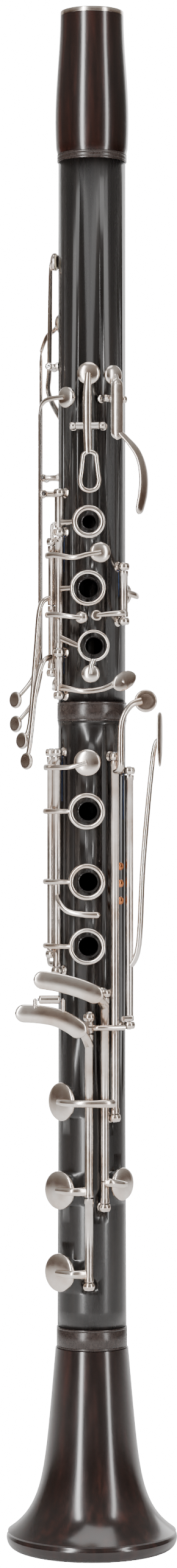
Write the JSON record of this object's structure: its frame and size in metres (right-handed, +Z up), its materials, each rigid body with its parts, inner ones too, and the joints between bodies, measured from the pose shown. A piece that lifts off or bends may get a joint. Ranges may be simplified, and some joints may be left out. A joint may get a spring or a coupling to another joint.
{
  "type": "clarinet",
  "caption": "Straight wooden clarinet body without mouthpiece: barrel, two joints and flared bell, with open finger rings, rocking side keys and little-finger levers that all move",
  "frame": {"origin": "centre of the bell rim plane, on the bore axis", "axes": "+Z runs up the bore from the bell to the barrel; -Y is the front, where the finger rings are; +X is the side of the left little-finger levers"},
  "size_m": [0.075, 0.075, 0.676],
  "materials": {
    "black_wood": "oiled dense black wood, satin",
    "brown_wood": "dark reddish-brown wood, polished",
    "socket_ring": "dark grey-brown composite ring, polished",
    "silver_plate": "polished silver plate on nickel silver",
    "steel": "ground steel rod",
    "blue_steel": "blued spring steel wire",
    "copper": "polished copper-coloured post",
    "cork": "waxed cork",
    "pad_skin": "thin pale skin over felt"
  },
  "bodies": {
    "body": {"upper_joint": "black_wood", "middle_ring": "socket_ring", "lower_joint": "black_wood", "bell_ring": "socket_ring", "bell": "brown_wood", "tenon_corks": "cork", "thumb_tube": "socket_ring", "register_vent": "steel", "thumb_rest": "silver_plate", "thumb_rest_screws": "steel", "upper_posts": "silver_plate", "lower_posts": "silver_plate", "yoke_posts": "silver_plate", "guide_posts": "copper", "upper_axles": "steel", "lower_axles": "steel", "pivot_pins": "steel", "needle_springs": "blue_steel"},
    "barrel_body": {"barrel": "brown_wood", "barrel_top_ring": "silver_plate", "barrel_base_ring": "socket_ring"},
    "register": {"register_key": "silver_plate", "register_pad": "pad_skin"},
    "throat_a": {"throat_a_key": "silver_plate", "throat_a_pad": "pad_skin"},
    "g_sharp": {"g_sharp_key": "silver_plate", "g_sharp_pad": "pad_skin"},
    "trill_1": {"trill_key_1": "silver_plate", "trill_pad_1": "pad_skin"},
    "trill_2": {"trill_key_2": "silver_plate", "trill_pad_2": "pad_skin"},
    "side_b_flat": {"side_b_flat_key": "silver_plate", "side_b_flat_pad": "pad_skin"},
    "side_f_sharp": {"side_f_sharp_key": "silver_plate", "side_f_sharp_pad": "pad_skin"},
    "first_ring": {"first_ring_key": "silver_plate"},
    "upper_ring": {"upper_ring_key": "silver_plate", "upper_ring_pad": "pad_skin"},
    "cross": {"cross_key": "silver_plate", "cross_pad": "pad_skin"},
    "c_sharp": {"c_sharp_key": "silver_plate", "c_sharp_pad": "pad_skin"},
    "lower_ring": {"lower_ring_key": "silver_plate", "lower_ring_pad": "pad_skin"},
    "fork": {"fork_key": "silver_plate", "fork_pad": "pad_skin"},
    "a_flat": {"a_flat_key": "silver_plate", "a_flat_pad": "pad_skin"},
    "low_f": {"f_key": "silver_plate", "f_pad": "pad_skin", "roller_pin": "steel"},
    "low_e": {"e_key": "silver_plate", "e_pad": "pad_skin", "e_key_axle": "steel"},
    "f_sharp": {"f_sharp_key": "silver_plate", "f_sharp_pad": "pad_skin"},
    "e_lever": {"e_lever": "silver_plate"},
    "roller": {"plate_roller": "silver_plate"}
  },
  "joints": [
    {"name": "barrel_pull", "type": "slide", "parent": "body", "child": "barrel_body", "axis": [0, 0, 1], "range_m": [0, 0.0015]},
    {"name": "register_rock", "type": "hinge", "parent": "body", "child": "register", "pos_m": [-0.01777, 0.00476, 0.52], "axis": [-0.2588, -0.9659, 0], "range_deg": [0, 4.5], "stiffness_Nm_per_rad": 0.03, "springref_deg": -8.59},
    {"name": "throat_a_rock", "type": "hinge", "parent": "body", "child": "throat_a", "pos_m": [-0.00192, -0.0183, 0.492], "axis": [0.9945, -0.1045, 0], "range_deg": [0, 5.5], "stiffness_Nm_per_rad": 0.03, "springref_deg": -8.59},
    {"name": "g_sharp_rock", "type": "hinge", "parent": "body", "child": "g_sharp", "pos_m": [0.00991, -0.01526, 0.504], "axis": [0.8387, 0.5446, 0], "range_deg": [0, 6.5], "stiffness_Nm_per_rad": 0.03, "springref_deg": -8.59},
    {"name": "trill_1_rock", "type": "hinge", "parent": "body", "child": "trill_1", "pos_m": [-0.02135, -0.00149, 0.4635], "axis": [0.0698, -0.9976, 0], "range_deg": [0, 2.5], "stiffness_Nm_per_rad": 0.03, "springref_deg": -8.59},
    {"name": "trill_2_rock", "type": "hinge", "parent": "body", "child": "trill_2", "pos_m": [-0.02085, 0.00481, 0.471], "axis": [-0.225, -0.9744, 0], "range_deg": [0, 2.2], "stiffness_Nm_per_rad": 0.03, "springref_deg": -8.59},
    {"name": "side_b_flat_turn", "type": "hinge", "parent": "body", "child": "side_b_flat", "pos_m": [-0.0173, -0.00596, 0.392], "axis": [0, 0, 1], "range_deg": [-5.5, 0], "stiffness_Nm_per_rad": 0.03, "springref_deg": 8.59},
    {"name": "side_f_sharp_turn", "type": "hinge", "parent": "body", "child": "side_f_sharp", "pos_m": [-0.0173, -0.00596, 0.392], "axis": [0, 0, 1], "range_deg": [-6, 0], "stiffness_Nm_per_rad": 0.03, "springref_deg": 8.59},
    {"name": "first_ring_turn", "type": "hinge", "parent": "body", "child": "first_ring", "pos_m": [-0.01426, -0.01114, 0.392], "axis": [0, 0, 1], "range_deg": [0, 5], "stiffness_Nm_per_rad": 0.03, "springref_deg": -8.59},
    {"name": "upper_ring_turn", "type": "hinge", "parent": "body", "child": "upper_ring", "pos_m": [-0.01426, -0.01114, 0.392], "axis": [0, 0, 1], "range_deg": [0, 5], "stiffness_Nm_per_rad": 0.03, "springref_deg": -8.59},
    {"name": "cross_turn", "type": "hinge", "parent": "body", "child": "cross", "pos_m": [0.01376, -0.01175, 0.392], "axis": [0, 0, 1], "range_deg": [-6, 0], "stiffness_Nm_per_rad": 0.03, "springref_deg": 8.59},
    {"name": "c_sharp_turn", "type": "hinge", "parent": "body", "child": "c_sharp", "pos_m": [-0.01426, -0.01114, 0.392], "axis": [0, 0, 1], "range_deg": [0, 6], "stiffness_Nm_per_rad": 0.03, "springref_deg": -8.59},
    {"name": "lower_ring_turn", "type": "hinge", "parent": "body", "child": "lower_ring", "pos_m": [-0.01776, -0.00443, 0.1175], "axis": [0, 0, 1], "range_deg": [0, 5], "stiffness_Nm_per_rad": 0.03, "springref_deg": -8.59},
    {"name": "fork_turn", "type": "hinge", "parent": "body", "child": "fork", "pos_m": [-0.01518, -0.00986, 0.1175], "axis": [0, 0, 1], "range_deg": [0, 6], "stiffness_Nm_per_rad": 0.03, "springref_deg": -8.59},
    {"name": "a_flat_turn", "type": "hinge", "parent": "body", "child": "a_flat", "pos_m": [0.0055, -0.01745, 0.1575], "axis": [0, 0, 1], "range_deg": [-8, 0], "stiffness_Nm_per_rad": 0.03, "springref_deg": 8.59},
    {"name": "low_f_turn", "type": "hinge", "parent": "body", "child": "low_f", "pos_m": [-0.00128, -0.01826, 0.1575], "axis": [0, 0, 1], "range_deg": [-7.5, 0], "stiffness_Nm_per_rad": 0.03, "springref_deg": 8.59},
    {"name": "low_e_turn", "type": "hinge", "parent": "body", "child": "low_e", "pos_m": [-0.00128, -0.01826, 0.1575], "axis": [0, 0, 1], "range_deg": [-7.5, 0]},
    {"name": "f_sharp_turn", "type": "hinge", "parent": "body", "child": "f_sharp", "pos_m": [0.00986, -0.01518, 0.1175], "axis": [0, 0, 1], "range_deg": [0, 7], "stiffness_Nm_per_rad": 0.03, "springref_deg": -8.59},
    {"name": "e_lever_turn", "type": "hinge", "parent": "body", "child": "e_lever", "pos_m": [0.01625, -0.00864, 0.1175], "axis": [0, 0, 1], "range_deg": [0, 12], "stiffness_Nm_per_rad": 0.03, "springref_deg": -8.59},
    {"name": "roller_spin", "type": "hinge", "parent": "low_f", "child": "roller", "pos_m": [-0.0185, -0.0246, 0.2425], "axis": [1, 0, 0], "continuous": true}
  ],
  "couplings": [
    {"joint": "low_e_turn", "follows": "e_lever_turn", "ratio": -0.625},
    {"joint": "first_ring_turn", "follows": "upper_ring_turn", "ratio": 1}
  ]
}
